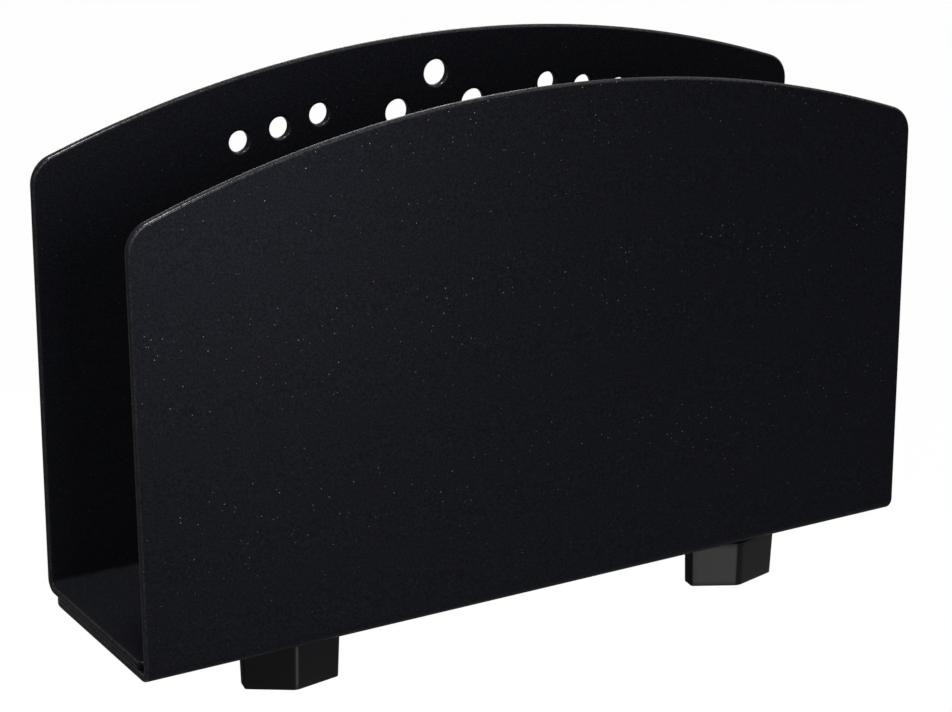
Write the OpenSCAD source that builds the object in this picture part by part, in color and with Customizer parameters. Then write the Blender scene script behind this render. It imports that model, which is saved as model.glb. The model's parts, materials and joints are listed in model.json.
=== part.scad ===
// Wall mount for a small desktop computer: two folded sheet brackets whose flanges
// overlap under the computer and are clamped by two turned knobs.
// Units are millimetres, +Z is up, the front plate faces -Y.
// The origin lies on the wall face, at the back of the rear plate.

/* [Part shown] */
// Which piece to build

/* [Plates] */
// Width of both brackets
plate_w = 252; // [180:1:340]
// Height of a plate's straight side above its flange underside, measured along the plate
side_h = 125.7; // [90:0.1:180]
// Height of the arched top edge above the flange underside, measured along the plate
apex_h = 148.4; // [100:0.1:220]
// Lean of the front plate in towards the rear plate, in degrees
front_lean = 1.6; // [0:0.1:4]
// Rounding of the two top corners
corner_r = 8.5; // [4:0.5:16]
// Sheet thickness
sheet_t = 2.5; // [1.5:0.1:4]
// Inside radius of the fold
bend_r = 1.5; // [0.8:0.1:4]

/* [Flanges] */
// Wall face to the foremost point of the front bracket's fold with the mount closed
closed_depth = 67.1; // [50:0.1:90]
// Powder coat gap between the two overlapping flanges
stack_gap = 0.1; // [0.05:0.05:0.3]
// Gap between the rear bracket's free flange end and the front bracket's fold
fold_gap = 0.9; // [0.4:0.1:3]
// Gap between the front bracket's free flange end and the wall
wall_gap = 0.5; // [0.2:0.1:3]
// Rounding of each flange's free corners
flange_r = 8; // [2:0.5:10]

/* [Screw holes in the rear plate] */
// Sideways step between screw holes
hole_pitch = 12.7; // [10:0.1:16]
// Diameter of the holes in the two outer rows
small_hole_d = 6.2; // [4:0.1:8]
// Diameter of the three holes near the middle
large_hole_d = 7.6; // [5:0.1:10]
// Holes in each outer row
row_count = 3; // [1:1:4]
// Steps from the middle to the first hole of a row
row_first = 3; // [2:1:4]
// First hole of a row below the top of the arch
row_below = 19.3; // [14:0.1:40]
// Fall of a row from one hole to the next one outwards
row_fall = 2.4; // [0:0.1:5]
// Large pair below the top of the arch
pair_below = 22; // [16:0.1:40]
// Centre hole below the top of the arch
top_below = 11.8; // [9:0.1:30]

/* [Clamp] */
// Each bolt's distance from the middle
bolt_x = 75.5; // [50:0.5:110]
// Bolt axis behind the rear bracket's free flange end
bolt_inset = 10.4; // [7:0.1:16]
// Shank diameter of the bolts
bolt_d = 6; // [4:0.1:8]
// Diameter of a bolt's domed head
head_d = 14.4; // [10:0.1:18]
// Height of a bolt's domed head
head_h = 3; // [2:0.1:4]
// Side of the square neck under the head
neck_w = 6.4; // [4.4:0.1:9]
// Clearance round the square neck
neck_gap = 0.1; // [0.05:0.05:0.4]
// Clearance on each side of the shank in the slot
slot_gap = 0.3; // [0.1:0.05:1]
// Metal left behind the slot's rear end
slot_margin = 8; // [3:0.1:12]
// Outside diameter of the flat washers
washer_d = 13; // [10:0.1:20]
// Thickness of the flat washers
washer_t = 1.6; // [0.8:0.1:2.5]
// Clearance round the shank in a washer
washer_gap = 0.3; // [0.1:0.05:0.6]

/* [Knobs] */
// Length across a knob's two ends, at its foot
knob_len = 27.4; // [20:0.1:40]
// Thickness of a knob in the middle, at its foot
knob_mid = 14.7; // [13:0.1:24]
// Thickness of a knob at its two ends
knob_end = 4.4; // [3:0.1:10]
// Height of a knob
knob_h = 14.4; // [10:0.1:25]
// Draft of a knob's sides, in degrees
knob_draft = 1.1; // [0:0.1:4]
// Rounding of the ridge in the middle of each long side
ridge_r = 3.7; // [1:0.1:8]
// Rounding of the four corners at the ends
tip_r = 0.8; // [0.3:0.1:2]
// How far the left knob is turned, in degrees
turn_left = -11.7; // [-90:0.1:90]
// How far the right knob is turned, in degrees
turn_right = -6.7; // [-90:0.1:90]
// How far the right knob stands turned back down its bolt
back_off = 1.1; // [0:0.1:2]
// Outside diameter of the threaded insert
insert_d = 9; // [7:0.1:11]
// Length of the threaded insert
insert_len = 11; // [7:0.1:14]
// How far the insert stands proud of the knob
insert_proud = 0.3; // [0.1:0.1:1]
// Running clearance between the bolt and the insert
thread_gap = 0.05; // [0.02:0.01:0.1]
// Bolt end short of the insert's lower end
bolt_short = 1.5; // [0.5:0.1:4]

/* [Placing] */
// Height of the origin on the wall face above the front flange
datum_h = 80; // [40:1:110]

/* [Hidden] */
$fn = 64;
bend_out = bend_r + sheet_t;
// straight steps round the fold, and the spare length that the outlines trim away
fold_steps = 16;
spare = sheet_t / 2;
z_front = -datum_h;
z_rear = z_front + sheet_t + stack_gap;
// free flange ends: the rear bracket's runs forward, the front bracket's runs back
rear_end_y = -closed_depth + bend_out + fold_gap;
front_end_y = -wall_gap;
bolt_y = rear_end_y + bolt_inset;
slot_w = bolt_d + 2 * slot_gap;
slot_front = bolt_y;
slot_back = front_end_y - slot_margin - slot_w / 2;
floor_z = z_rear + sheet_t;
washer_top = z_front;
insert_top = washer_top - washer_t;
knob_top = insert_top - insert_proud;
insert_foot = insert_top - insert_len;
bolt_foot = insert_foot + bolt_short;
neck_h = sheet_t;
coat = [0.06, 0.06, 0.065];
zinc = [0.62, 0.63, 0.64];
plastic = [0.08, 0.08, 0.085];
brass = [0.72, 0.56, 0.30];

// arch through both shoulders, and the fillet that joins it to the straight side
arch_rise = apex_h - side_h;
arch_r = (plate_w * plate_w / 4 + arch_rise * arch_rise) / (2 * arch_rise);
arch_z = apex_h - arch_r;
fil_x = plate_w / 2 - corner_r;
fil_z = arch_z + sqrt(pow(arch_r - corner_r, 2) - fil_x * fil_x);
fil_a = asin(fil_x / (arch_r - corner_r));

// Plate outline from just under the fold up to the arched top
module plate_outline() {
    reach = 2 * corner_r;
    translate([-plate_w / 2, -spare])
        square([plate_w, fil_z + spare]);
    for (s = [-1, 1])
        translate([s * fil_x, fil_z])
            circle(r = corner_r);
    intersection() {
        translate([0, arch_z])
            circle(r = arch_r, $fn = 720);
        polygon([[-fil_x, fil_z], [fil_x, fil_z],
                 [fil_x + reach * sin(fil_a), fil_z + reach * cos(fil_a)],
                 [0, apex_h + reach],
                 [-fil_x - reach * sin(fil_a), fil_z + reach * cos(fil_a)]]);
    }
}

// Flange outline, from just past the fold to its free end with round corners
module flange_outline(length) {
    back = bend_out + spare;
    translate([-plate_w / 2, -back])
        square([plate_w, length - flange_r + back]);
    translate([-plate_w / 2 + flange_r, -back])
        square([plate_w - 2 * flange_r, length + back]);
    for (s = [-1, 1])
        translate([s * (plate_w / 2 - flange_r), length - flange_r])
            circle(r = flange_r);
}

// Points of the fold at one radius round its axis, from the flange to the leaning plate
function fold_arc(r, lean) = [for (i = [0:fold_steps])
    let (a = (90 + lean) * i / fold_steps) [-r * sin(a), -r * cos(a)]];

// Section across a folded sheet, round the fold's axis: the flange, the fold and the
// leaning plate, both ends with some spare length for the outlines to trim
module sheet_section(flange_len, lean) {
    flange_end = flange_len - bend_out + spare;
    rise = (apex_h - bend_out + spare) * [sin(lean), cos(lean)];
    outer = fold_arc(bend_out, lean);
    inner = fold_arc(bend_r, lean);
    polygon([[flange_end, -bend_out], each outer, outer[fold_steps] + rise,
             inner[fold_steps] + rise, for (i = [0:fold_steps]) inner[fold_steps - i],
             [flange_end, -bend_r]]);
}

// Folded sheet whose flange runs towards +Y from its fold, which touches y = 0, and whose
// plate stands up from the fold and leans towards +Y
module folded_sheet(flange_len, lean) {
    translate([0, bend_out, bend_out])
        intersection() {
            rotate([90, 0, 90])
                translate([0, 0, -plate_w / 2])
                    linear_extrude(plate_w)
                        sheet_section(flange_len, lean);
            union() {
                translate([0, 0, -bend_out - spare])
                    linear_extrude(sheet_t + 2 * spare)
                        flange_outline(flange_len - bend_out);
                rotate([90 - lean, 0, 0])
                    translate([0, -bend_out, bend_r - spare])
                        linear_extrude(sheet_t + 2 * spare)
                            plate_outline();
            }
        }
}

// Screw hole through the rear plate, at x and at a height given below the arch top
module screw_hole(x, below, d) {
    translate([x, 1, z_rear + apex_h - below])
        rotate([90, 0, 0])
            cylinder(d = d, h = sheet_t + 2);
}

module rear_bracket() {
    color(coat)
        difference() {
            translate([0, 0, z_rear])
                mirror([0, 1, 0])
                    folded_sheet(-rear_end_y, 0);
            screw_hole(0, top_below, large_hole_d);
            for (s = [-1, 1]) {
                screw_hole(s * hole_pitch, pair_below, large_hole_d);
                for (k = [0:row_count - 1])
                    screw_hole(s * (row_first + k) * hole_pitch,
                               row_below + k * row_fall, small_hole_d);
                translate([s * bolt_x, bolt_y, floor_z - sheet_t / 2])
                    cube([neck_w + 2 * neck_gap, neck_w + 2 * neck_gap, sheet_t + 2],
                         center = true);
            }
        }
}

module front_bracket() {
    color(coat)
        difference() {
            translate([0, -closed_depth, z_front])
                folded_sheet(closed_depth + front_end_y, front_lean);
            for (s = [-1, 1])
                translate([s * bolt_x, 0, z_front - 1]) {
                    translate([0, slot_front, 0])
                        cylinder(d = slot_w, h = sheet_t + 2);
                    translate([0, slot_back, 0])
                        cylinder(d = slot_w, h = sheet_t + 2);
                    translate([-slot_w / 2, slot_front, 0])
                        cube([slot_w, slot_back - slot_front, sheet_t + 2]);
                }
        }
}

// Carriage bolt: domed head on the floor, short square neck, round shank
module bolt(s) {
    dome_r = (head_d * head_d / 4 + head_h * head_h) / (2 * head_h);
    lead = 0.8;
    color(zinc)
        translate([s * bolt_x, bolt_y, 0]) {
            intersection() {
                translate([0, 0, floor_z + head_h - dome_r])
                    sphere(r = dome_r, $fn = 96);
                translate([0, 0, floor_z])
                    cylinder(d = head_d, h = head_h + 1);
            }
            translate([-neck_w / 2, -neck_w / 2, floor_z - neck_h])
                cube([neck_w, neck_w, neck_h + 0.4]);
            translate([0, 0, bolt_foot + lead])
                cylinder(d = bolt_d, h = floor_z - bolt_foot - lead + 0.4);
            translate([0, 0, bolt_foot])
                cylinder(d1 = bolt_d - 2 * lead, d2 = bolt_d, h = lead);
        }
}

module washer(s) {
    color(zinc)
        translate([s * bolt_x, bolt_y, washer_top - washer_t])
            difference() {
                cylinder(d = washer_d, h = washer_t);
                translate([0, 0, -1])
                    cylinder(d = bolt_d + 2 * washer_gap, h = washer_t + 2);
            }
}

// Outline of a knob: corners of an elongated hexagon, each rounded by its own radius
hex_pts = [[-knob_len / 2, -knob_end / 2], [0, -knob_mid / 2], [knob_len / 2, -knob_end / 2],
           [knob_len / 2, knob_end / 2], [0, knob_mid / 2], [-knob_len / 2, knob_end / 2]];
hex_r = [tip_r, ridge_r, tip_r, tip_r, ridge_r, tip_r];
function unit(v) = v / norm(v);
function round_corner(a, b, c, r, n) =
    let (u = unit(a - b), w = unit(c - b), half = acos(u * w) / 2,
         o = b + unit(u + w) * r / sin(half),
         p = b + u * r / tan(half), q = b + w * r / tan(half),
         a0 = atan2(p[1] - o[1], p[0] - o[0]), a1 = atan2(q[1] - o[1], q[0] - o[0]),
         da = (a1 - a0) - 360 * floor((a1 - a0 + 180) / 360))
    [for (i = [0:n]) o + r * [cos(a0 + da * i / n), sin(a0 + da * i / n)]];
knob_pts = [for (i = [0:5])
    each round_corner(hex_pts[(i + 5) % 6], hex_pts[i], hex_pts[(i + 1) % 6], hex_r[i], 8)];

// Moulded knob: drafted sides that widen upwards, bored from above for its insert
module knob(s, turn) {
    foot_z = knob_top - knob_h;
    grow = 1 + 2 * knob_h * tan(knob_draft) / knob_mid;
    color(plastic)
        translate([s * bolt_x, bolt_y, 0])
            rotate([0, 0, turn])
                difference() {
                    translate([0, 0, foot_z])
                        linear_extrude(knob_h, scale = grow)
                            polygon(knob_pts);
                    translate([0, 0, insert_foot])
                        cylinder(d = insert_d, h = insert_len + 1);
                }
}

// Threaded insert pressed into the knob
module insert(s) {
    color(brass)
        translate([s * bolt_x, bolt_y, insert_foot])
            difference() {
                cylinder(d = insert_d, h = insert_len);
                translate([0, 0, -1])
                    cylinder(d = bolt_d + 2 * thread_gap, h = insert_len + 2);
            }
}

module left_bolt() { bolt(-1); }
module right_bolt() { bolt(1); }
module left_washer() { washer(-1); }
module right_washer() { washer(1); }
module left_knob() { knob(-1, turn_left); }
module right_knob() { translate([0, 0, -back_off]) knob(1, turn_right); }
module left_insert() { insert(-1); }
module right_insert() { translate([0, 0, -back_off]) insert(1); }

rear_bracket();
front_bracket();
left_bolt();
right_bolt();
left_washer();
right_washer();
left_knob();
right_knob();
left_insert();
right_insert();
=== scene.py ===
"""Dresses the wall mount for a small desktop computer.

Two folded steel brackets in fine black powder coat, two moulded knobs and two zinc
plated bolts are worked out as surfaces; washers and inserts keep their own meshes.
Lengths are metres, +Z is up, the wall face of the rear plate lies in the plane y = 0.
"""
import json
import math

import bpy
import numpy as np
from mathutils import Matrix, Vector
from mathutils.geometry import delaunay_2d_cdt


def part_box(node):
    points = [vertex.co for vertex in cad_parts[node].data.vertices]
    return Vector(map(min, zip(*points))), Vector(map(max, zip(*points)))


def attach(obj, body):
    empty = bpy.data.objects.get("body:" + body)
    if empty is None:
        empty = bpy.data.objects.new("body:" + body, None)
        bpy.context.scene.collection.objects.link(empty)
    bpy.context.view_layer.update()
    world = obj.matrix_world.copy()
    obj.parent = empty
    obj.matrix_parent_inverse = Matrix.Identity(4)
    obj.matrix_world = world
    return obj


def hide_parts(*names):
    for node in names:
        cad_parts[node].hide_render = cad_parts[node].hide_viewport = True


bl_info = {
    "name": "Computer Wall Mount",
    "version": (1, 0, 0),
    "blender": (4, 5, 0),
    "location": "View3D > Sidebar > Wall Mount",
    "description": "Builds the folded brackets, knobs, bolts, finishes and stage",
    "category": "Object",
}

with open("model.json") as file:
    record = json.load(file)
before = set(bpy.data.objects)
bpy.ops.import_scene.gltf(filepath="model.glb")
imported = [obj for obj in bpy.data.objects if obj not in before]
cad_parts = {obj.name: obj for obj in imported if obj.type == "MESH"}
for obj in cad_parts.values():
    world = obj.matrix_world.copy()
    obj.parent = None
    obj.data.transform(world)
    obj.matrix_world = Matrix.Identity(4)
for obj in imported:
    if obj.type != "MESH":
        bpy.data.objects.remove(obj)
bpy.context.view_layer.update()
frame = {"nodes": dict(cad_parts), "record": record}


def node_box(name):
    """Lowest and highest corner of a CAD node as two arrays, in metres."""
    low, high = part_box(name)
    return np.array(low), np.array(high)


FRONT_LOW, FRONT_HIGH = node_box("front_bracket")
REAR_LOW, REAR_HIGH = node_box("rear_bracket")
BOLT_LOW, BOLT_HIGH = node_box("left_bolt")
INSERT_LOW, INSERT_HIGH = node_box("left_insert")
JOINTS = {joint["name"]: joint for joint in frame["record"]["behaviour"]["joints"]}
TRAVEL = JOINTS["width_slide"]["range_m"][1]

# Screw holes of the rear plate: one above a large pair, and a falling row on each side
HOLE_PITCH = 0.0127
LARGE_RADIUS, SMALL_RADIUS = 0.0038, 0.0031
TOP_BELOW, PAIR_BELOW, ROW_BELOW = 0.0118, 0.022, 0.0193
ROW_FIRST, ROW_COUNT, ROW_FALL = 3, 3, 0.0024
SLOT_GAP, NECK_GAP = 0.0003, 0.0001

# Sheets: rows of points round the fold, steps round a flange's corner, a plate's corner and
# its arch, the strip of flat skin between a loop's round and the triangles, the stations up
# a plate's side, and how close points count as one
FOLD_ROWS, FLANGE_STEPS, CORNER_STEPS, ARCH_STEPS = 11, 12, 14, 60
SKIN_STRIP = 0.0004
SIDE_STATIONS, SIDE_MARGIN = (0.03, 0.06, 0.09), 0.001
SAME = 1e-7

# How glossy each ring of a cut edge is, and the share of that where it faces sideways
EDGE_GLOSS = (0, 0, 0.7, 1, 0.6, 0.1, 0.1, 0.6, 1, 0.7, 0, 0)
SIDE_GLOSS = 0.35

# Knobs: the longest step along the outline, the strip on the foot's face, the bore's
# chamfer, and how far a side faces along the knob where its end begins, and over how much
KNOB_STEP, FOOT_STRIP, BORE_CHAMFER = 0.0015, 0.0003, 0.0003
END_FROM, END_OVER = 0.5, 0.3

# Bolts: roundings of the head's rim and of the neck, bevels, how far head, neck and
# thread run into each other, the thread's depth in pitches, its levels in a turn, the
# lengths it fades over, and the height and slope of the cone at its end
HEAD_ROUND, NECK_ROUND, BEVEL, SINK = 0.0004, 0.0004, 0.0003, 0.0002
THREAD_DEPTH, THREAD_LEVELS = 0.54, 10
FADE_TOP, FADE_FOOT = 0.0006, 0.0003
CONE_HEIGHT, CONE_SLOPE = 0.0008, 0.9

# Powder coat: grain size, darkest and lightest grain, and its glints, bright specks painted into
# the colour as highlights
GRAIN_SIZE, GRAIN_DARK, GRAIN_LIGHT = 0.0006, 0.65, 1.35
PAINTED_GLINT_SPACING, PAINTED_GLINT_SHARE, PAINTED_GLINT_STRENGTH = 0.0014, 0.9, 0.8
PAINTED_GLINT_COLOUR = (0.30, 0.31, 0.35, 1.0)

# Stage: floor height and reach, and lamps as name, place, aim, size and watts
FLOOR_Z, FLOOR_REACH = -0.32, 6.0
MIDDLE = (0.0, -0.035, -0.01)
LAMPS = (
    ("overhead_lamp", (-0.19, -0.19, 0.80), MIDDLE, 0.16, 7.0),
    ("front_lamp", (-0.11, -0.182, 0.076), (-0.11, -0.067, 0.065), 0.07, 0.18),
    ("low_lamp", (-0.0232, -0.3523, -0.240), (0.0755, -0.052, -0.09), 0.10, 0.36),
    ("wall_side_lamp", (0.25, 0.75, 0.10), MIDDLE, 0.40, 5.0))

# Camera fitted to the photograph: focal length and shift in its pixels
PHOTO_WIDTH, SENSOR_WIDTH = 952.0, 36.0
FOCAL_PIXELS, SHIFT_PIXELS = 2944.92, 84.0
CAMERA_TURN, CAMERA_TILT, CAMERA_ROLL = 31.035, 21.130, 0.590
CAMERA_DISTANCE = 0.81889
AIM_X, AIM_PROUD, AIM_ABOVE = -0.02424, 0.00010, 0.05178


# Sizes and colours

class MountSheetSizes(bpy.types.PropertyGroup):
    """Sizes of the two folded sheets"""

    thickness: bpy.props.FloatProperty(
        name="Sheet thickness", description="Thickness of the coated sheet",
        default=0.0025, min=0.0015, max=0.004, unit="LENGTH", precision=5)
    bend_radius: bpy.props.FloatProperty(
        name="Inside bend radius", description="Radius inside the fold",
        default=0.0015, min=0.0008, max=0.004, unit="LENGTH", precision=5)
    side_height: bpy.props.FloatProperty(
        name="Side height", description="Straight side of a plate above its flange underside",
        default=0.1257, min=0.09, max=0.18, unit="LENGTH", precision=5)
    front_lean: bpy.props.FloatProperty(
        name="Front lean", description="Lean of the front plate in towards the rear plate",
        default=math.radians(1.6), min=0.0, max=math.radians(4), subtype="ANGLE", unit="ROTATION")
    corner_radius: bpy.props.FloatProperty(
        name="Corner radius", description="Rounding of a plate's top corners",
        default=0.0085, min=0.004, max=0.016, unit="LENGTH", precision=5)
    flange_radius: bpy.props.FloatProperty(
        name="Flange corner radius", description="Rounding of a flange's free corners",
        default=0.008, min=0.002, max=0.01, unit="LENGTH", precision=5)
    rear_flange_radius: bpy.props.FloatProperty(
        name="Rear flange corner radius",
        description="Rounding of the rear bracket's flange corners",
        default=0.0022, min=0.001, max=0.01, unit="LENGTH", precision=5)
    edge_radius: bpy.props.FloatProperty(
        name="Edge rounding", description="Rounding that the coating gives each cut edge",
        default=0.0007, min=0.0001, max=0.0012, unit="LENGTH", precision=5)


class MountKnobSizes(bpy.types.PropertyGroup):
    """Sizes of the two clamp knobs"""

    length: bpy.props.FloatProperty(
        name="Knob length", description="Length across the two ends, at the foot",
        default=0.0274, min=0.02, max=0.04, unit="LENGTH", precision=5)
    middle: bpy.props.FloatProperty(
        name="Middle thickness", description="Thickness at the two ridges, at the foot",
        default=0.0147, min=0.013, max=0.024, unit="LENGTH", precision=5)
    end: bpy.props.FloatProperty(
        name="End thickness", description="Thickness at the two ends",
        default=0.0044, min=0.003, max=0.01, unit="LENGTH", precision=5)
    draft: bpy.props.FloatProperty(
        name="Draft", description="Lean of the moulded sides",
        default=math.radians(1.1), min=0.0, max=math.radians(4), subtype="ANGLE", unit="ROTATION")
    ridge_radius: bpy.props.FloatProperty(
        name="Ridge radius", description="Rounding of the ridge on each long side",
        default=0.0037, min=0.001, max=0.008, unit="LENGTH", precision=5)
    tip_radius: bpy.props.FloatProperty(
        name="Tip radius", description="Rounding of the four corners at the ends",
        default=0.0008, min=0.0003, max=0.002, unit="LENGTH", precision=5)
    foot_radius: bpy.props.FloatProperty(
        name="Foot radius", description="Rounding of the lower and upper rim",
        default=0.0005, min=0.0001, max=0.0008, unit="LENGTH", precision=5)
    turn_left: bpy.props.FloatProperty(
        name="Left turn", description="How far the left knob is turned",
        default=math.radians(-11.7), subtype="ANGLE", unit="ROTATION")
    turn_right: bpy.props.FloatProperty(
        name="Right turn", description="How far the right knob is turned",
        default=math.radians(-6.7), subtype="ANGLE", unit="ROTATION")


class MountBoltSizes(bpy.types.PropertyGroup):
    """Sizes of the two carriage bolts"""

    shank: bpy.props.FloatProperty(
        name="Shank diameter", description="Outside diameter of the thread",
        default=0.006, min=0.004, max=0.008, unit="LENGTH", precision=5)
    neck: bpy.props.FloatProperty(
        name="Neck width", description="Side of the square neck under the head",
        default=0.0064, min=0.0044, max=0.009, unit="LENGTH", precision=5)
    head_height: bpy.props.FloatProperty(
        name="Head height", description="Height of the domed head above the floor",
        default=0.003, min=0.002, max=0.004, unit="LENGTH", precision=5)
    pitch: bpy.props.FloatProperty(
        name="Thread pitch", description="Rise of the thread in one turn",
        default=0.001, min=0.0005, max=0.002, unit="LENGTH", precision=5)


class MountColours(bpy.types.PropertyGroup):
    """Colours of the finishes"""

    coat: bpy.props.FloatVectorProperty(
        name="Powder coat", description="Colour of the textured powder coat",
        default=(0.0085, 0.0089, 0.0116), min=0.0, max=1.0, subtype="COLOR", size=3)
    knob: bpy.props.FloatVectorProperty(
        name="Knob plastic", description="Colour of the moulded knobs",
        default=(0.0034, 0.0035, 0.0046), min=0.0, max=1.0, subtype="COLOR", size=3)
    zinc: bpy.props.FloatVectorProperty(
        name="Zinc plating", description="Colour of bolts and washers",
        default=(0.56, 0.57, 0.58), min=0.0, max=1.0, subtype="COLOR", size=3)
    brass: bpy.props.FloatVectorProperty(
        name="Brass", description="Colour of the threaded inserts",
        default=(0.62, 0.42, 0.16), min=0.0, max=1.0, subtype="COLOR", size=3)
    floor: bpy.props.FloatVectorProperty(
        name="Floor", description="Colour of the pale floor",
        default=(0.86, 0.86, 0.86), min=0.0, max=1.0, subtype="COLOR", size=3)


# Surfaces from arrays

class Shell:
    """Collects vertices and faces of one piece, as arrays, and makes its mesh."""

    def __init__(self):
        self.points = []
        self.faces = []
        self.rim = []
        self.count = 0

    def add(self, points, faces, rim=None):
        """Adds an (n, 3) array of points and lists of faces that number them from 0.
        Rim tells how much each point lies on a sheet's rounded edge or a knob's end,
        from 0 to 1."""
        self.points.append(np.asarray(points, float))
        self.rim.append(np.zeros(len(points)) if rim is None else np.asarray(rim, float))
        for block in faces:
            self.faces.extend((np.asarray(block) + self.count).tolist())
        self.count += len(points)

    def make(self, name, material):
        """The piece as a smooth-shaded mesh object, with Rim as a point attribute."""
        mesh = bpy.data.meshes.new(name)
        mesh.from_pydata(np.concatenate(self.points).tolist(), [], self.faces)
        mesh.polygons.foreach_set("use_smooth", np.ones(len(mesh.polygons), bool))
        mesh.update()
        rim = mesh.attributes.new("rim", "FLOAT", "POINT")
        rim.data.foreach_set("value", np.concatenate(self.rim))
        mesh.materials.append(material)
        piece = bpy.data.objects.new(name, mesh)
        bpy.context.scene.collection.objects.link(piece)
        return piece


def grid_quads(rings, around, flip=False):
    """Quads between neighbouring rings of a grid that closes on itself round each ring."""
    i = np.arange(rings - 1)[:, None]
    j = np.arange(around)[None, :]
    k = (j + 1) % around
    quads = np.stack([i * around + j, i * around + k, (i + 1) * around + k,
                      (i + 1) * around + j], axis=-1).reshape(-1, 4)
    return quads[:, ::-1] if flip else quads


def cap_fan(ring_start, around, pole, flip=False):
    """Triangles from one ring to its pole vertex."""
    j = np.arange(around)
    tris = np.stack([ring_start + j, ring_start + (j + 1) % around,
                     np.full(around, pole)], axis=-1)
    return tris[:, ::-1] if flip else tris


def arc_points(centre, radius, start, stop, steps):
    """Points centre + radius (cos a, sin a), and their outward normals, for a from start
    to stop."""
    a = np.linspace(start, stop, steps + 1)
    normal = np.stack([np.cos(a), np.sin(a)], axis=1)
    return np.asarray(centre) + radius * normal, normal


# Folded sheet

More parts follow.
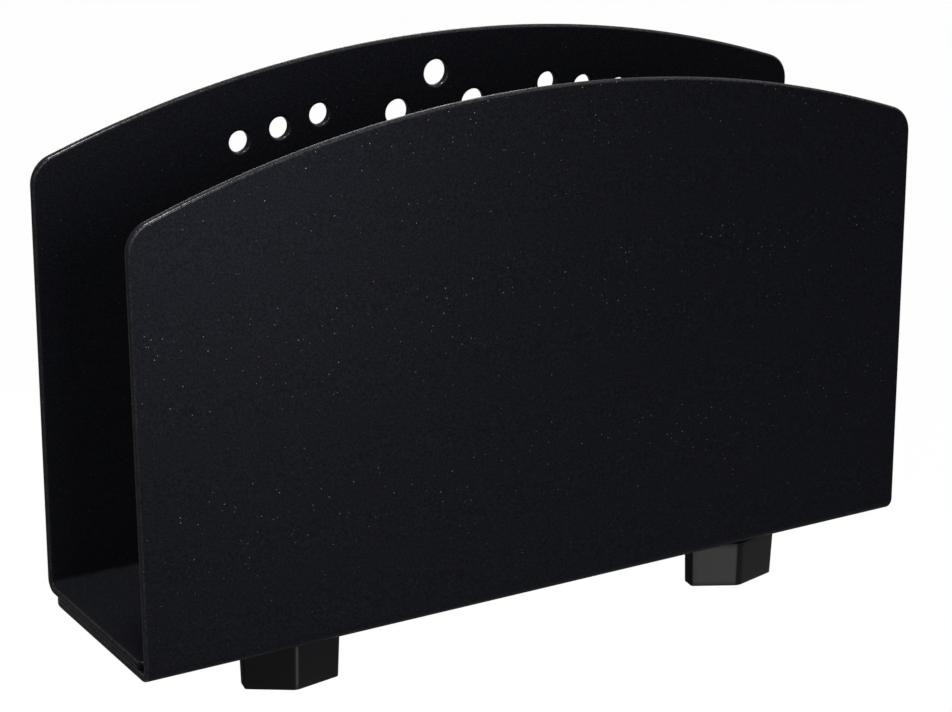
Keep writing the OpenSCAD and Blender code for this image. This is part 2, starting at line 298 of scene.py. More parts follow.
class FoldedSheet:
    """A flat blank (u across, s along) that is folded through a right angle and a lean.

    For s below 0 a point lies on the flange, from 0 to the arc's length it turns
    round the fold's axis at a radius of outer radius minus depth, and above that it
    climbs the plate. Depth runs from 0 on the outer skin to the sheet's thickness.
    """

    def __init__(self, sizes, outer_y, run, underside, reach, apex, width, flange_r,
                 lean=0.0):
        self.t = sizes.thickness
        self.edge = sizes.edge_radius
        self.lean = lean
        self.out = sizes.bend_radius + sizes.thickness
        self.arc = (math.pi / 2 + lean) * (sizes.bend_radius + sizes.thickness / 2)
        self.outer_y, self.run, self.underside = outer_y, run, underside
        self.flange = reach - self.out
        self.half = width / 2
        self.flange_r = flange_r
        rise = apex - sizes.side_height
        self.arch_r = (self.half ** 2 + rise ** 2) / (2 * rise)
        self.arch_s = self.along(apex - self.arch_r)
        self.corner = sizes.corner_radius
        self.fil_u = self.half - self.corner
        lift = math.sqrt((self.arch_r - self.corner) ** 2 - self.fil_u ** 2)
        self.fil_s = self.arch_s + lift
        self.fil_a = math.atan2(lift, self.fil_u)
        self.rows = np.linspace(0.0, self.arc, FOLD_ROWS)

    def along(self, height):
        """Place along the blank of a height up the plate from the flange's underside."""
        return self.arc + height - self.out

    def fold(self, u, s, depth):
        """Position in space of blank coordinates and depth, as whole arrays."""
        a = np.clip(s / self.arc, 0, 1) * (math.pi / 2 + self.lean)
        r = self.out - depth
        climb = np.maximum(s - self.arc, 0)
        y = self.out - r * np.sin(a) + np.maximum(-s, 0) + climb * math.sin(self.lean)
        z = self.out - r * np.cos(a) + climb * math.cos(self.lean)
        return np.stack([u, self.outer_y + self.run * y, self.underside + z], axis=-1)

    def outline(self):
        """Closed outline, anticlockwise, and its outward normals: flange end, round
        corner, straight side, fillet and arch, then the same mirrored."""
        parts = []
        line = np.array([[0.0, -self.flange], [self.half - self.flange_r, -self.flange]])
        parts.append((line, np.tile([0.0, -1.0], (2, 1))))
        parts.append(arc_points((self.half - self.flange_r, -self.flange + self.flange_r),
                                self.flange_r, -math.pi / 2, 0, FLANGE_STEPS))
        s = np.concatenate([self.rows, [self.arc + up for up in SIDE_STATIONS]])
        s = s[s < self.fil_s - SIDE_MARGIN]
        parts.append((np.stack([np.full(len(s), self.half), s], 1),
                      np.tile([1.0, 0.0], (len(s), 1))))
        parts.append(arc_points((self.fil_u, self.fil_s), self.corner, 0, self.fil_a,
                                CORNER_STEPS))
        parts.append(arc_points((0, self.arch_s), self.arch_r, self.fil_a, math.pi / 2,
                                ARCH_STEPS))
        p = np.concatenate([q for q, _ in parts])
        n = np.concatenate([m for _, m in parts])
        keep = np.concatenate([[True], np.linalg.norm(np.diff(p, axis=0), axis=1) > SAME])
        p, n = p[keep], n[keep]
        mirror = np.array([-1.0, 1.0])
        return (np.concatenate([p, (p * mirror)[::-1][1:-1]]),
                np.concatenate([n, (n * mirror)[::-1][1:-1]]))

    @staticmethod
    def round_hole(u, s, radius, steps=48):
        """Clockwise circle whose normals point into the hole."""
        p, n = arc_points((u, s), radius, 2 * math.pi, 0, steps)
        return p[:-1], -n[:-1]

    @staticmethod
    def long_hole(u, s0, s1, radius, steps=20):
        """Clockwise slot along s, with half round ends, whose normals point into it."""
        top, tn = arc_points((u, s1), radius, math.pi, 0, steps)
        low, ln = arc_points((u, s0), radius, 0, -math.pi, steps)
        return np.concatenate([top, low]), -np.concatenate([tn, ln])

    @staticmethod
    def square_hole(u, s, half, radius=NECK_ROUND, steps=4):
        """Clockwise square with rounded corners, whose normals point into it."""
        p, n = [], []
        for k in range(4):
            a = math.pi / 4 - k * math.pi / 2
            c = (half - radius) * math.sqrt(2) * np.array([math.cos(a), math.sin(a)])
            q, m = arc_points((u, s) + c, radius, a + math.pi / 4, a - math.pi / 4, steps)
            p.append(q)
            n.append(m)
        return np.concatenate(p), -np.concatenate(n)

    def build(self, name, material, holes):
        """Both skins are triangulated between the loops, and each loop's cut edge is a
        profile across the thickness, with quarter circles, carried along the loop. Rim is
        1 on the rounds, less on the flat between them and where the loop faces sideways."""
        e, t = self.edge, self.t
        q = np.linspace(0, math.pi / 2, 5)
        strip = [e + SKIN_STRIP]
        inward, sunk = e - e * np.sin(q), e - e * np.cos(q)
        back = np.concatenate([strip, inward, inward[::-1], strip])
        deep = np.concatenate([[0.0], sunk, t - sunk[::-1], [t]])
        glossy = np.array(EDGE_GLOSS)
        loops = [self.outline()] + holes
        shell = Shell()
        rims, outer_ids, inner_ids, edges, start = [], [], [], [], 0
        for p, n in loops:
            count, rings = len(p), len(back)
            inset = p[None] - back[:, None, None] * n[None]
            grid = self.fold(inset[..., 0], inset[..., 1], deep[:, None] * np.ones(count))
            base = shell.count
            upward = SIDE_GLOSS + (1 - SIDE_GLOSS) * np.clip(n[:, 1], 0, 1)
            shell.add(grid.reshape(-1, 3), [grid_quads(rings, count, flip=self.run > 0)],
                      rim=(glossy[:, None] * upward).ravel())
            rims.append(inset[0])
            outer_ids.append(base + np.arange(count))
            inner_ids.append(base + (rings - 1) * count + np.arange(count))
            edges += [(start + i, start + (i + 1) % count) for i in range(count)]
            start += count
        flat = np.concatenate(rims)
        outer_ids, inner_ids = np.concatenate(outer_ids), np.concatenate(inner_ids)
        side = np.abs(np.abs(flat[:, 0]) - (self.half - e - SKIN_STRIP)) < SAME
        for s in self.rows:
            pair = np.nonzero(side & (np.abs(flat[:, 1] - s) < SAME))[0]
            if len(pair) != 2:
                raise RuntimeError("the fold's rows don't meet the sides")
            edges.append(tuple(int(i) for i in pair))
        found = delaunay_2d_cdt([Vector(v) for v in (flat * 1000).tolist()], edges, [], 1, 1e-5)
        spots, tris, source = found[0], found[2], found[3]
        if len(spots) != len(flat):
            raise RuntimeError("the skin gained or lost points")
        back_to = np.array([o[0] for o in source])
        tris = back_to[np.array(tris)]
        for rim in rims[1:]:
            tris = tris[~inside(flat[tris].mean(axis=1), rim)]
        a, b, c = flat[tris[:, 0]], flat[tris[:, 1]], flat[tris[:, 2]]
        turn = (b - a)[:, 0] * (c - a)[:, 1] - (b - a)[:, 1] * (c - a)[:, 0]
        tris[turn < 0] = tris[turn < 0][:, ::-1]
        first = tris if self.run > 0 else tris[:, ::-1]
        shell.faces.extend(outer_ids[first].tolist())
        shell.faces.extend(inner_ids[first[:, ::-1]].tolist())
        return shell.make(name, material)


def inside(points, loop):
    """Even and odd crossings of a ray to the right tell which points lie in a closed loop."""
    a, b = loop, np.roll(loop, -1, axis=0)
    y = points[:, 1][:, None]
    spans = (a[:, 1] > y) != (b[:, 1] > y)
    with np.errstate(divide="ignore", invalid="ignore"):
        x = a[:, 0] + (y - a[:, 1]) * (b[:, 0] - a[:, 0]) / (b[:, 1] - a[:, 1])
    return (np.sum(spans & (points[:, 0][:, None] < x), axis=1) % 2) == 1


# Knob and bolt

def rounded_polygon(corners, radii, steps):
    """Anticlockwise outline of a polygon whose corners are arcs tangent to both sides,
    with its outward normals."""
    points, normals = [], []
    for k, (b, r) in enumerate(zip(corners, radii)):
        u = corners[k - 1] - b
        w = corners[(k + 1) % len(corners)] - b
        u, w = u / np.linalg.norm(u), w / np.linalg.norm(w)
        half = math.acos(float(np.clip(u @ w, -1, 1))) / 2
        middle = (u + w) / np.linalg.norm(u + w)
        centre = b + middle * r / math.sin(half)
        facing = math.atan2(-middle[1], -middle[0])
        spread = math.pi / 2 - half
        p, n = arc_points(centre, r, facing - spread, facing + spread, steps)
        points.append(p)
        normals.append(n)
    return np.concatenate(points), np.concatenate(normals)


def knob_outline(sizes, steps=8):
    """Outline at the foot: a long hexagon with a soft ridge on each side, each straight
    side cut into short steps so that the rings above it stay even."""
    a, m, e = sizes.length / 2, sizes.middle / 2, sizes.end / 2
    corners = np.array([[-a, -e], [0, -m], [a, -e], [a, e], [0, m], [-a, e]])
    radii = [sizes.tip_radius, sizes.ridge_radius, sizes.tip_radius] * 2
    p, n = rounded_polygon(corners, radii, steps)
    points, normals = [], []
    for k in range(len(p)):
        gap = np.linalg.norm(p[(k + 1) % len(p)] - p[k])
        cuts = max(1, int(round(gap / KNOB_STEP)))
        w = (np.arange(cuts) / cuts)[:, None]
        points.append(p[k] * (1 - w) + p[(k + 1) % len(p)] * w)
        d = n[k] * (1 - w) + n[(k + 1) % len(p)] * w
        normals.append(d / np.linalg.norm(d, axis=1)[:, None])
    return np.concatenate(points), np.concatenate(normals)


def knob_shell(sizes, foot, top, bore_radius, bore_foot, centre, turn):
    """A knob as rings: the foot's face, the foot's round, the drafted side, which grows
    in step with height, the upper round, the top face, which turns from the outline into
    the bore's circle, and the bore down to its floor. Rim is 1 on the two ends."""
    p, n = knob_outline(sizes)
    around, high, r = len(p), top - foot, sizes.foot_radius
    grow = 2 * high * math.tan(sizes.draft) / sizes.middle
    q = np.linspace(0, math.pi / 2, 6)
    rings = []

    def ring(inset, z, shrink=1.0):
        scale = (1 + grow * (z - foot) / high) * shrink
        flat = p * scale - inset * n * shrink
        rings.append(np.column_stack([flat, np.full(around, z)]))

    for shrink in (0.15, 0.4, 0.7, 0.92):
        ring(r, foot, shrink)
    ring(r + FOOT_STRIP, foot)
    for a in q:
        ring(r - r * math.sin(a), foot + r - r * math.cos(a))
    for w in np.linspace(0, 1, 8)[1:-1]:
        ring(0.0, foot + r + (high - 2 * r) * w)
    for a in q[::-1]:
        ring(r - r * math.sin(a), top - r + r * math.cos(a))
    edge = rings[-1][:, :2]
    angle = np.arctan2(edge[:, 1], edge[:, 0])
    circle = np.stack([np.cos(angle), np.sin(angle)], axis=1)
    for w in (0.15, 0.5, 1.0):
        mix = edge * (1 - w) + circle * (bore_radius + BORE_CHAMFER) * w
        rings.append(np.column_stack([mix, np.full(around, top)]))
    for z in (top - BORE_CHAMFER, (top + bore_foot) / 2, bore_foot):
        rings.append(np.column_stack([circle * bore_radius, np.full(around, z)]))
    rings.append(np.column_stack([circle * bore_radius * 0.5, np.full(around, bore_foot)]))
    body = np.concatenate(rings)
    poles = np.array([[0, 0, foot], [0, 0, bore_foot]])
    count = len(body)
    c, s = math.cos(turn), math.sin(turn)
    spot = np.concatenate([body, poles]) @ np.array([[c, s, 0], [-s, c, 0], [0, 0, 1]])
    spot += np.array([centre[0], centre[1], 0.0])
    shell = Shell()
    ends = np.clip((np.abs(n[:, 0]) - END_FROM) / END_OVER, 0, 1)
    shell.add(spot, [grid_quads(len(rings), around),
                     cap_fan(0, around, count, flip=True),
                     cap_fan(count - around, around, count + 1)],
              rim=np.concatenate([np.tile(ends, len(rings)), [0.0, 0.0]]))
    return shell


def turned_shell(shell, profile, centre, around=96):
    """Adds a surface of revolution of (radius, height) pairs, whose first and last radius
    are zero and become poles. Heights fall along the profile."""
    profile = np.asarray(profile, float)
    a = np.arange(around) / around * 2 * math.pi
    ring = np.stack([np.cos(a), np.sin(a)], axis=1)
    middle = profile[1:-1]
    flat = middle[:, 0][:, None, None] * ring[None]
    z = np.repeat(middle[:, 1][:, None], around, axis=1)[..., None]
    body = np.concatenate([flat, z], axis=-1).reshape(-1, 3)
    poles = np.array([[0, 0, profile[0, 1]], [0, 0, profile[-1, 1]]])
    spot = np.concatenate([body, poles]) + np.array([centre[0], centre[1], 0.0])
    count = len(body)
    shell.add(spot, [grid_quads(len(middle), around, flip=True),
                     cap_fan(0, around, count),
                     cap_fan(count - around, around, count + 1, flip=True)])


def bolt_shell(sizes, floor, foot, neck_foot, head_radius, centre):
    """Carriage bolt: a domed head turned from a circle's arc with a rounded rim, a square
    neck that is a rounded square carried down, and a thread whose radius at height z and
    angle a follows a triangle wave of z / pitch - a / turn, fading out at both ends."""
    shell = Shell()
    h, rim = sizes.head_height, HEAD_ROUND
    dome = (head_radius ** 2 + h ** 2) / (2 * h)
    a_edge = math.asin((head_radius - rim) / dome)
    a = np.linspace(0, a_edge, 22)
    rise = [(dome * math.sin(k), floor + h - dome + dome * math.cos(k)) for k in a]
    q = np.linspace(0.35, math.pi / 2, 5)
    low = floor + h - dome + dome * math.cos(a_edge)
    rim = min(rim, (low - floor) / 2 + SINK)
    side = [(head_radius - rim + rim * math.sin(k), floor + (low - floor) * math.cos(k))
            for k in q]
    profile = rise + side + [(head_radius - BEVEL, floor), (0.002, floor), (0.0, floor)]
    turned_shell(shell, profile, centre)
    w = sizes.neck / 2
    sq = np.array([[-w, -w], [w, -w], [w, w], [-w, w]])
    p, _ = rounded_polygon(sq, [NECK_ROUND] * 4, 5)
    rings = [np.column_stack([p * k, np.full(len(p), z)]) for k, z in (
        (0.3, floor + SINK), (1.0, floor + SINK), (1.0, (floor + neck_foot) / 2),
        (1.0, neck_foot + BEVEL), (0.94, neck_foot), (0.3, neck_foot))]
    body = np.concatenate(rings)
    poles = np.array([[0, 0, floor + SINK], [0, 0, neck_foot]])
    spot = np.concatenate([body, poles]) + np.array([centre[0], centre[1], 0.0])
    shell.add(spot, [grid_quads(len(rings), len(p), flip=True),
                     cap_fan(0, len(p), len(body)),
                     cap_fan(len(body) - len(p), len(p), len(body) + 1, flip=True)])
    around = 48
    top = neck_foot + SINK
    levels = int(round((top - foot) / sizes.pitch * THREAD_LEVELS))
    z = np.linspace(top, foot, levels + 1)[:, None]
    a = (np.arange(around) / around)[None, :]
    wave = np.abs(((z / sizes.pitch - a) % 1.0) * 2 - 1)
    depth = THREAD_DEPTH * sizes.pitch
    fade = np.clip((top - z) / FADE_TOP, 0, 1) * np.clip((z - foot) / FADE_FOOT, 0, 1)
    radius = sizes.shank / 2 - depth * wave * fade
    cone = np.clip(CONE_HEIGHT - (z - foot), 0, 1) * CONE_SLOPE
    radius = np.minimum(radius, sizes.shank / 2 - cone)
    ring = 2 * math.pi * a
    body = np.stack([radius * np.cos(ring), radius * np.sin(ring), z + 0 * ring], -1)
    body = body.reshape(-1, 3)
    poles = np.array([[0, 0, top], [0, 0, foot]])
    spot = np.concatenate([body, poles]) + np.array([centre[0], centre[1], 0.0])
    shell.add(spot, [grid_quads(levels + 1, around, flip=True),
                     cap_fan(0, around, len(body)),
                     cap_fan(len(body) - around, around, len(body) + 1, flip=True)])
    return shell


# Finishes

def link(tree, source, target):
    """Joins an output socket to an input socket."""
    tree.links.new(source, target)


def value_math(tree, operation, a, b=None, clamp=False):
    """A Math node whose inputs are sockets or plain numbers."""
    node = tree.nodes.new("ShaderNodeMath")
    node.operation, node.use_clamp = operation, clamp
    for socket, given in zip(node.inputs, (a, b)):
        if given is None:
            continue
        if isinstance(given, (int, float)):
            socket.default_value = given
        else:
            link(tree, given, socket)
    return node.outputs[0]


def new_group(name, inputs, outputs):
    """A shader node group with named float or vector sockets."""
    group = bpy.data.node_groups.new(name, "ShaderNodeTree")
    for label, kind, default in inputs:
        socket = group.interface.new_socket(name=label, in_out="INPUT", socket_type=kind)
        if default is not None:
            socket.default_value = default
    for label, kind in outputs:
        group.interface.new_socket(name=label, in_out="OUTPUT", socket_type=kind)
    return group, group.nodes.new("NodeGroupInput"), group.nodes.new("NodeGroupOutput")


def coat_grain_group():
    """Fine orange-peel grain of a textured coating, with sparse small glints painted as
    highlights.

    Height adds two noises, a fine one at the grain size and a slow one at six times it,
    and Grain is the fine one alone, with its middle third spread over 0 to 1.
    Glint is a painted highlight: a spot at the middle of most cells of a Voronoi pattern,
    whose size and strength are the cell's random values, the strength raised to a power so
    that few are bright. Cloud is a slow noise that varies colour and roughness."""
    group, src, out = new_group(
        "coat_grain",
        [("Vector", "NodeSocketVector", None), ("Grain Size", "NodeSocketFloat", 0.0006),
         ("Glint Spacing", "NodeSocketFloat", 0.004), ("Glint Share", "NodeSocketFloat", 0.06)],
        [("Height", "NodeSocketFloat"), ("Grain", "NodeSocketFloat"),
         ("Glint", "NodeSocketFloat"), ("Cloud", "NodeSocketFloat")])
    per = value_math(group, "DIVIDE", 1.0, src.outputs["Grain Size"])
    fine = group.nodes.new("ShaderNodeTexNoise")
    fine.inputs["Detail"].default_value = 2.5
    fine.inputs["Roughness"].default_value = 0.6
    slow = group.nodes.new("ShaderNodeTexNoise")
    slow.inputs["Detail"].default_value = 2.0
    cloud = group.nodes.new("ShaderNodeTexNoise")
    cloud.inputs["Scale"].default_value = 22.0
    cloud.inputs["Detail"].default_value = 3.0
    cells = group.nodes.new("ShaderNodeTexVoronoi")
    for node in (fine, slow, cloud, cells):
        link(group, src.outputs["Vector"], node.inputs["Vector"])
    link(group, per, fine.inputs["Scale"])
    link(group, value_math(group, "DIVIDE", per, 6.0), slow.inputs["Scale"])
    density = value_math(group, "DIVIDE", 1.0, src.outputs["Glint Spacing"])
    link(group, density, cells.inputs["Scale"])
    height = value_math(group, "ADD", fine.outputs["Fac"],
                        value_math(group, "MULTIPLY", slow.outputs["Fac"], 0.8))
    split = group.nodes.new("ShaderNodeSeparateColor")
    link(group, cells.outputs["Color"], split.inputs[0])
    # Painted glints: spots in some Voronoi cells that stand in for sparkle highlights
    picked = value_math(group, "LESS_THAN", split.outputs[0], src.outputs["Glint Share"])
    size = value_math(group, "ADD", value_math(group, "MULTIPLY", split.outputs[1], 0.06), 0.05)
    close = value_math(group, "LESS_THAN", cells.outputs["Distance"], size)
    painted_glint_brightness = value_math(group, "POWER", split.outputs[2], 2.6)
    link(group, height, out.inputs["Height"])
    spread = value_math(group, "MULTIPLY", fine.outputs["Fac"], 3.0)
    link(group, value_math(group, "SUBTRACT", spread, 1.0, clamp=True), out.inputs["Grain"])
    painted_glint_spots = value_math(group, "MULTIPLY", value_math(group, "MULTIPLY", picked, close), painted_glint_brightness)
    link(group, painted_glint_spots, out.inputs["Glint"])
    link(group, cloud.outputs["Fac"], out.inputs["Cloud"])
    return group


def brushed_group():
    """Fine turned or rolled marks on plated metal: a noise stretched along one axis, and a
    slow noise for the uneven tone of plating."""
    group, src, out = new_group(
        "metal_marks",
        [("Vector", "NodeSocketVector", None), ("Mark Size", "NodeSocketFloat", 0.0003)],
        [("Height", "NodeSocketFloat"), ("Tone", "NodeSocketFloat")])
    stretch = group.nodes.new("ShaderNodeMapping")
    stretch.inputs["Scale"].default_value = (1.0, 1.0, 6.0)
    marks = group.nodes.new("ShaderNodeTexNoise")
    marks.inputs["Detail"].default_value = 3.0
    tone = group.nodes.new("ShaderNodeTexNoise")
    tone.inputs["Scale"].default_value = 260.0
    link(group, src.outputs["Vector"], stretch.inputs["Vector"])
    link(group, stretch.outputs["Vector"], marks.inputs["Vector"])
    link(group, src.outputs["Vector"], tone.inputs["Vector"])
    density = value_math(group, "DIVIDE", 1.0, src.outputs["Mark Size"])
    link(group, density, marks.inputs["Scale"])
    link(group, marks.outputs["Fac"], out.inputs["Height"])
    link(group, tone.outputs["Fac"], out.inputs["Tone"])
    return group


def group_once(name, build):
    """The node group of that name, built if it isn't there yet."""
    return bpy.data.node_groups.get(name) or build()


def fresh_material(name):
    """A material with a Principled BSDF, its tree and an Object coordinates socket."""
    material = bpy.data.materials.new(name)
    material.use_nodes = True
    tree = material.node_tree
    place = tree.nodes.new("ShaderNodeTexCoord")
    return material, tree, tree.nodes["Principled BSDF"], place.outputs["Object"]


def blend_colour(tree, factor, dark, light):
    """A colour between two plain colours."""
    mix = tree.nodes.new("ShaderNodeMix")
    mix.data_type = "RGBA"
    mix.inputs[6].default_value = (*dark, 1.0)
    mix.inputs[7].default_value = (*light, 1.0)
    link(tree, factor, mix.inputs[0])
    return mix.outputs[2]


def ramp(tree, factor, low, high):
    """low + factor * (high - low)."""
    return value_math(tree, "ADD", value_math(tree, "MULTIPLY", factor, high - low), low)


def add_bump(tree, shader, height, strength, distance):
    """A Bump node from a height to the shader's Normal."""
    bump = tree.nodes.new("ShaderNodeBump")
    bump.inputs["Strength"].default_value = strength
    bump.inputs["Distance"].default_value = distance
    link(tree, height, bump.inputs["Height"])
    link(tree, bump.outputs["Normal"], shader.inputs["Normal"])


def powder_coat(colour):
    """Black powder coat whose grain mottles its colour, with a few bright glints painted into the
    colour as highlights. Where it is drawn thin over a sheet's rounded edge it is smooth and
    glossy."""
    material, tree, shader, place = fresh_material("black_powder_coat")
    grain = tree.nodes.new("ShaderNodeGroup")
    grain.node_tree = group_once("coat_grain", coat_grain_group)
    grain.inputs["Grain Size"].default_value = GRAIN_SIZE
    grain.inputs["Glint Spacing"].default_value = PAINTED_GLINT_SPACING
    grain.inputs["Glint Share"].default_value = PAINTED_GLINT_SHARE
    link(tree, place, grain.inputs["Vector"])
    colour = np.array(colour)
    mottle = grain.outputs["Grain"]
    base = blend_colour(tree, mottle, tuple(colour * GRAIN_DARK), tuple(colour * GRAIN_LIGHT))
    # Painted highlights: bright glint specks mixed into the base colour
    painted_glint = tree.nodes.new("ShaderNodeMix")
    painted_glint.data_type = "RGBA"
    painted_glint_amount = value_math(tree, "MULTIPLY", grain.outputs["Glint"], PAINTED_GLINT_STRENGTH)
    link(tree, painted_glint_amount, painted_glint.inputs[0])
    link(tree, base, painted_glint.inputs[6])
    painted_glint.inputs[7].default_value = PAINTED_GLINT_COLOUR
    link(tree, painted_glint.outputs[2], shader.inputs["Base Color"])
    rim = tree.nodes.new("ShaderNodeAttribute")
    rim.attribute_name = "rim"
    link(tree, ramp(tree, grain.outputs["Cloud"], 0.36, 0.46), shader.inputs["Roughness"])
    drawn = value_math(tree, "MULTIPLY", rim.outputs["Fac"], ramp(tree, mottle, 0.2, 1.0))
    link(tree, drawn, shader.inputs["Coat Weight"])
    shader.inputs["Coat Roughness"].default_value = 0.22
    shader.inputs["IOR"].default_value = 1.2
    shader.inputs["Specular IOR Level"].default_value = 0.02
    add_bump(tree, shader, grain.outputs["Height"], 0.8, 0.00012)
    return material


def knob_plastic(colour):
    """Satin moulded plastic with a faint mould grain, coarser on the two ends."""
    material, tree, shader, place = fresh_material("satin_knob_plastic")
    grain = tree.nodes.new("ShaderNodeGroup")
    grain.node_tree = group_once("coat_grain", coat_grain_group)
    grain.inputs["Grain Size"].default_value = 0.0004
    grain.inputs["Glint Share"].default_value = 0.0
    link(tree, place, grain.inputs["Vector"])
    colour = np.array(colour)
    base = blend_colour(tree, grain.outputs["Cloud"], tuple(colour * 0.8), tuple(colour * 1.25))
    link(tree, base, shader.inputs["Base Color"])
    ends = tree.nodes.new("ShaderNodeAttribute")
    ends.attribute_name = "rim"
    rough = value_math(tree, "ADD", ramp(tree, grain.outputs["Cloud"], 0.20, 0.32),
                       value_math(tree, "MULTIPLY", ends.outputs["Fac"], 0.7), clamp=True)
    link(tree, rough, shader.inputs["Roughness"])
    shader.inputs["IOR"].default_value = 1.2
    shader.inputs["Specular IOR Level"].default_value = 0.3
    add_bump(tree, shader, grain.outputs["Height"], 0.12, 0.00004)
    return material


def plated_metal(name, colour, low, high):
    """Plated or turned metal with fine marks."""
    material, tree, shader, place = fresh_material(name)
    marks = tree.nodes.new("ShaderNodeGroup")
    marks.node_tree = group_once("metal_marks", brushed_group)
    link(tree, place, marks.inputs["Vector"])
    colour = np.array(colour)
    base = blend_colour(tree, marks.outputs["Tone"], tuple(colour * 0.9),
                        tuple(np.minimum(colour * 1.08, 1)))
    link(tree, base, shader.inputs["Base Color"])
    link(tree, ramp(tree, marks.outputs["Tone"], low, high), shader.inputs["Roughness"])
    shader.inputs["Metallic"].default_value = 1.0
    add_bump(tree, shader, marks.outputs["Height"], 0.15, 0.00003)
    return material


def material_once(name, build):
    """The material of that name, built if it isn't there yet."""
    return bpy.data.materials.get(name) or build()


def dress_node(name, material):
    """Gives a CAD node's own mesh a finish, in every slot."""
    node = frame["nodes"][name]
    if not node.material_slots:
        node.data.materials.append(material)
    for entry in node.material_slots:
        entry.material = material


# Operators

def scene_sizes():
    """The scene's sheet, knob and bolt sizes and its colours."""
    scene = bpy.context.scene
    return scene.mount_sheet, scene.mount_knob, scene.mount_bolt, scene.mount_colours


class MOUNT_OT_brackets(bpy.types.Operator):
    """Build both folded brackets with coated, rounded edges"""

    bl_idname = "mount.brackets"
    bl_label = "Brackets"

    def execute(self, context):
        sheet, _, bolt, colours = scene_sizes()
        coat = material_once("black_powder_coat", lambda: powder_coat(colours.coat))
        width = FRONT_HIGH[0] - FRONT_LOW[0]
        apex = REAR_HIGH[2] - REAR_LOW[2]
        centre = (BOLT_LOW + BOLT_HIGH) / 2
        front = FoldedSheet(sheet, FRONT_LOW[1], 1, FRONT_LOW[2],
                            FRONT_HIGH[1] - FRONT_LOW[1], apex, width, sheet.flange_radius,
                            sheet.front_lean)
        start = front.out - (centre[1] - FRONT_LOW[1])
        end = start - TRAVEL
        slots = [front.long_hole(x, end, start, bolt.shank / 2 + SLOT_GAP)
                 for x in (centre[0], -centre[0])]
        piece = front.build("front_bracket_coated", coat, slots)
        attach(piece, "front")
        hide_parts("front_bracket")
        rear = FoldedSheet(sheet, REAR_HIGH[1], -1, REAR_LOW[2],
                           REAR_HIGH[1] - REAR_LOW[1], apex, width, sheet.rear_flange_radius)
        top = rear.along(apex)
        holes = [rear.round_hole(0.0, top - TOP_BELOW, LARGE_RADIUS)]
        for side in (-1, 1):
            holes.append(rear.round_hole(side * HOLE_PITCH, top - PAIR_BELOW, LARGE_RADIUS))
            for k in range(ROW_COUNT):
                holes.append(rear.round_hole(side * (ROW_FIRST + k) * HOLE_PITCH,
                                             top - ROW_BELOW - k * ROW_FALL, SMALL_RADIUS))
            holes.append(rear.square_hole(side * centre[0], rear.out + centre[1] - REAR_HIGH[1],
                                          bolt.neck / 2 + NECK_GAP))
        piece = rear.build("rear_bracket_coated", coat, holes)
        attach(piece, "rear")
        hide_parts("rear_bracket")
        return {"FINISHED"}


class MOUNT_OT_knobs(bpy.types.Operator):
    """Build the two moulded clamp knobs and finish their brass inserts"""

    bl_idname = "mount.knobs"
    bl_label = "Knobs"

    def execute(self, context):
        _, knob, _, colours = scene_sizes()
        plastic = material_once("satin_knob_plastic", lambda: knob_plastic(colours.knob))
        brass = material_once(
            "turned_brass", lambda: plated_metal("turned_brass", colours.brass, 0.22, 0.32))
        bore = (INSERT_HIGH[0] - INSERT_LOW[0]) / 2
        for side, turn in (("left", knob.turn_left), ("right", knob.turn_right)):
            low, high = node_box(f"{side}_insert")
            centre = (low + high) / 2
            knob_low, knob_high = node_box(f"{side}_knob")
            shell = knob_shell(knob, knob_low[2], knob_high[2], bore, low[2], centre, turn)
            piece = shell.make(f"{side}_knob_moulded", plastic)
            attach(piece, f"{side}_hand_knob")
            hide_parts(f"{side}_knob")
            dress_node(f"{side}_insert", brass)
        return {"FINISHED"}


class MOUNT_OT_bolts(bpy.types.Operator):
    """Build the two threaded carriage bolts and finish their washers"""

    bl_idname = "mount.bolts"
    bl_label = "Bolts and washers"

    def execute(self, context):
        sheet, _, bolt, colours = scene_sizes()
        zinc = material_once(
            "zinc_plating", lambda: plated_metal("zinc_plating", colours.zinc, 0.24, 0.36))
        for side in ("left", "right"):
            low, high = node_box(f"{side}_bolt")
            centre = (low + high) / 2
            floor = high[2] - bolt.head_height
            shell = bolt_shell(bolt, floor, low[2], floor - sheet.thickness,
                               (high[0] - low[0]) / 2, centre)
            piece = shell.make(f"{side}_bolt_threaded", zinc)
            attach(piece, "rear")
            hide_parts(f"{side}_bolt")
            dress_node(f"{side}_washer", zinc)
        return {"FINISHED"}


def soft_lamp(name, place, aim, size, watts):
    """A square area lamp at place that looks at aim."""
    data = bpy.data.lights.new(name, "AREA")
    data.shape, data.size, data.energy = "SQUARE", size, watts
    lamp = bpy.data.objects.new(name, data)
    lamp.location = place
    lamp.rotation_euler = (Vector(aim) - Vector(place)).to_track_quat("-Z", "Y").to_euler()
    bpy.context.scene.collection.objects.link(lamp)


def seen_white(tree, plain, white):
    """Mixes in a white surface for camera, glossy and transmission rays."""
    path = tree.nodes.new("ShaderNodeLightPath")
    seen = value_math(tree, "MAXIMUM", path.outputs["Is Glossy Ray"],
                      path.outputs["Is Transmission Ray"])
    seen = value_math(tree, "MAXIMUM", seen, path.outputs["Is Camera Ray"])
    mix = tree.nodes.new("ShaderNodeMixShader")
    link(tree, seen, mix.inputs[0])
    link(tree, plain, mix.inputs[1])
    link(tree, white, mix.inputs[2])
    return mix.outputs[0]


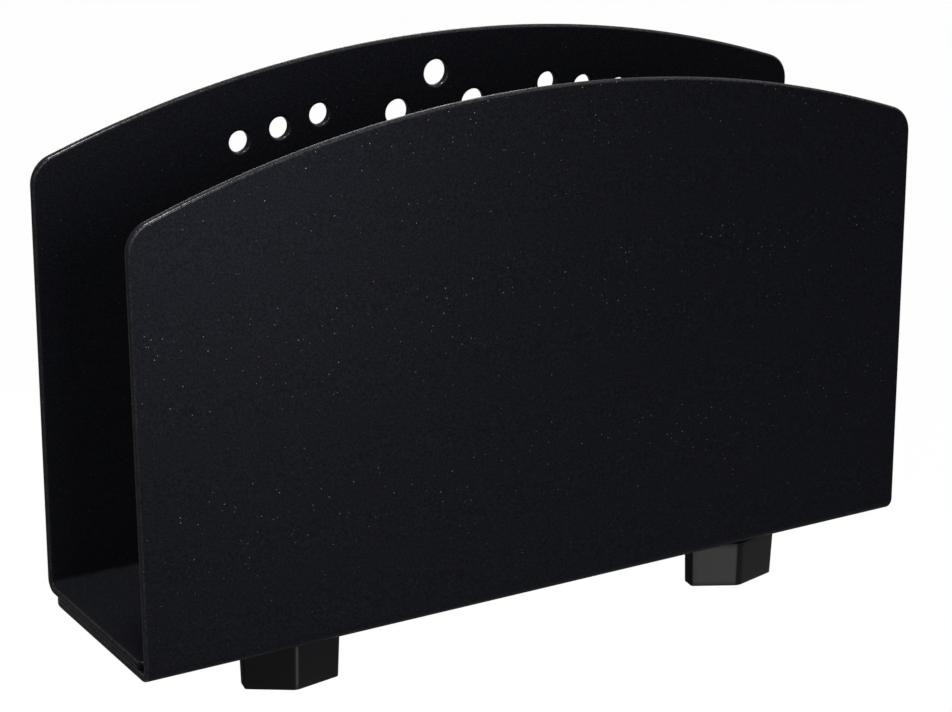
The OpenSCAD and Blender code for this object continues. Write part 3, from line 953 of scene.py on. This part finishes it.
class MOUNT_OT_stage(bpy.types.Operator):
    """Set the pale floor, the soft lamps, the world and the camera"""

    bl_idname = "mount.stage"
    bl_label = "Stage"

    def execute(self, context):
        scene = context.scene
        colours = scene.mount_colours
        scene.view_settings.view_transform = "Standard"
        self.floor(colours)
        self.world(scene)
        for lamp in LAMPS:
            soft_lamp(*lamp)
        self.camera(scene)
        return {"FINISHED"}

    def floor(self, colours):
        """A plain pale floor well below the mount, as under a mount on a wall."""
        shell = Shell()
        corners = np.array([[-1, -1], [1, -1], [1, 1], [-1, 1]]) * FLOOR_REACH
        shell.add(np.column_stack([corners, np.full(4, FLOOR_Z)]), [[[0, 1, 2, 3]]])
        material, tree, shader, _ = fresh_material("pale_floor")
        shader.inputs["Base Color"].default_value = (*colours.floor, 1.0)
        shader.inputs["Roughness"].default_value = 0.9
        glow = tree.nodes.new("ShaderNodeEmission")
        glow.inputs["Color"].default_value = (1, 1, 1, 1)
        both = tree.nodes.new("ShaderNodeMixShader")
        both.inputs[0].default_value = 0.985
        link(tree, shader.outputs[0], both.inputs[1])
        link(tree, glow.outputs[0], both.inputs[2])
        link(tree, seen_white(tree, shader.outputs[0], both.outputs[0]),
             tree.nodes["Material Output"].inputs[0])
        shell.make("pale_floor", material)

    def world(self, scene):
        """A plain white world, dim for the light that falls on the mount."""
        world = bpy.data.worlds.new("plain_studio")
        world.use_nodes = True
        tree = world.node_tree
        soft = tree.nodes["Background"]
        soft.inputs["Color"].default_value = (1, 1, 1, 1)
        soft.inputs["Strength"].default_value = 0.09
        white = tree.nodes.new("ShaderNodeBackground")
        white.inputs["Color"].default_value = (1, 1, 1, 1)
        link(tree, seen_white(tree, soft.outputs[0], white.outputs[0]),
             tree.nodes["World Output"].inputs[0])
        scene.world = world

    def camera(self, scene):
        """Looks at the mount from its left front and above, at the photograph's angle."""
        turn, tilt, roll = (math.radians(a) for a in (CAMERA_TURN, CAMERA_TILT, CAMERA_ROLL))
        level = math.cos(tilt)
        forward = Vector((math.sin(turn) * level, math.cos(turn) * level, -math.sin(tilt)))
        aim = Vector((AIM_X, FRONT_LOW[1] - AIM_PROUD, FRONT_LOW[2] + AIM_ABOVE))
        data = bpy.data.cameras.new("photo_camera")
        data.sensor_width = SENSOR_WIDTH
        data.lens = FOCAL_PIXELS * SENSOR_WIDTH / PHOTO_WIDTH
        data.shift_y = SHIFT_PIXELS / PHOTO_WIDTH
        data.clip_start, data.clip_end = 0.05, 50.0
        camera = bpy.data.objects.new("photo_camera", data)
        right = forward.cross(Vector((0, 0, 1))).normalized()
        up = right.cross(forward)
        r = right * math.cos(roll) + up * math.sin(roll)
        u = -right * math.sin(roll) + up * math.cos(roll)
        facing = Matrix((r, u, -forward)).transposed().to_4x4()
        camera.matrix_world = Matrix.Translation(aim - forward * CAMERA_DISTANCE) @ facing
        scene.collection.objects.link(camera)
        scene.camera = camera


class MOUNT_PT_panel(bpy.types.Panel):
    """Lists the steps that build the wall mount"""

    bl_idname = "MOUNT_PT_panel"
    bl_label = "Wall Mount"
    bl_space_type = "VIEW_3D"
    bl_region_type = "UI"
    bl_category = "Wall Mount"

    def draw(self, context):
        layout = self.layout
        for step in STEPS:
            layout.operator(step.bl_idname)
        for group in scene_sizes():
            box = layout.box()
            for name in group.bl_rna.properties.keys():
                if name not in ("rna_type", "name"):
                    box.prop(group, name)


GROUPS = (("mount_sheet", MountSheetSizes), ("mount_knob", MountKnobSizes),
          ("mount_bolt", MountBoltSizes), ("mount_colours", MountColours))
STEPS = (MOUNT_OT_brackets, MOUNT_OT_knobs, MOUNT_OT_bolts, MOUNT_OT_stage)


def register():
    for name, group in GROUPS:
        bpy.utils.register_class(group)
        setattr(bpy.types.Scene, name, bpy.props.PointerProperty(type=group))
    for item in (*STEPS, MOUNT_PT_panel):
        bpy.utils.register_class(item)


def unregister():
    for item in reversed((*STEPS, MOUNT_PT_panel)):
        bpy.utils.unregister_class(item)
    for name, group in reversed(GROUPS):
        delattr(bpy.types.Scene, name)
        bpy.utils.unregister_class(group)


def main():
    register()
    bpy.ops.mount.brackets()
    bpy.ops.mount.knobs()
    bpy.ops.mount.bolts()
    bpy.ops.mount.stage()


if __name__ == "__main__":
    main()
